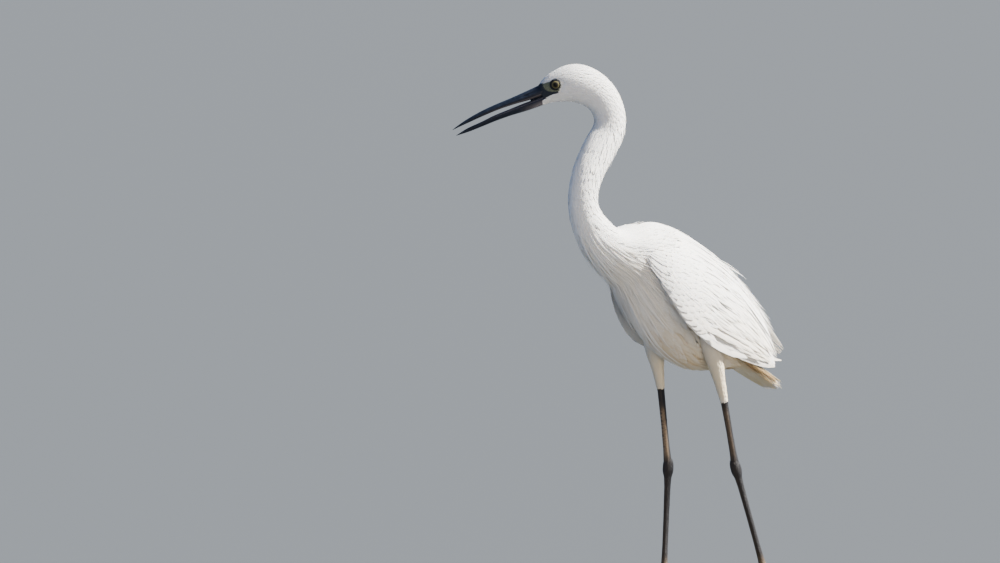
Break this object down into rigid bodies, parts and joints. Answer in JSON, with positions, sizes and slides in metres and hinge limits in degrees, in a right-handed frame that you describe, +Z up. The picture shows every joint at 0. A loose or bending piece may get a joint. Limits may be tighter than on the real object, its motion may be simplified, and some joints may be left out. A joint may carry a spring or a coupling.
{
  "type": "little egret",
  "caption": "Life-size white wading bird standing mid-stride on long dark legs, its head turned to the side and its dagger bill slightly open.",
  "frame": {"origin": "middle of the bird's box, on the floor it stands on", "axes": "+Z up, -Y the way the body faces, +X the bird's left"},
  "size_m": [0.134, 0.321, 0.463],
  "materials": {
    "plumage": "soft matte white feathers",
    "bill": "black horn with a blue-grey sheen",
    "bill_base": "black horn, pinkish grey at the base",
    "eye": "wet and glossy, pale yellow iris",
    "leg": "dark scaled skin with brown plates",
    "toe": "yellow-green scaled skin",
    "claw": "dark horn"
  },
  "bodies": {
    "root": {"bill_lower": "bill_base", "bill_upper": "bill", "claw_hind_left": "claw", "claw_hind_right": "claw", "claw_inner_left": "claw", "claw_inner_right": "claw", "claw_middle_left": "claw", "claw_middle_right": "claw", "claw_outer_left": "claw", "claw_outer_right": "claw", "eye_left": "eye", "eye_right": "eye", "head": "plumage", "neck_base": "plumage", "neck_middle": "plumage", "neck_upper": "plumage", "shin_left": "leg", "shin_right": "leg", "tail": "plumage", "tarsus_left": "leg", "tarsus_right": "leg", "thigh_left": "plumage", "thigh_right": "plumage", "toe_hind_left": "toe", "toe_hind_right": "toe", "toe_inner_left": "toe", "toe_inner_right": "toe", "toe_middle_left": "toe", "toe_middle_right": "toe", "toe_outer_left": "toe", "toe_outer_right": "toe", "torso": "plumage", "wing_left": "plumage", "wing_right": "plumage"}
  },
  "joints": []
}
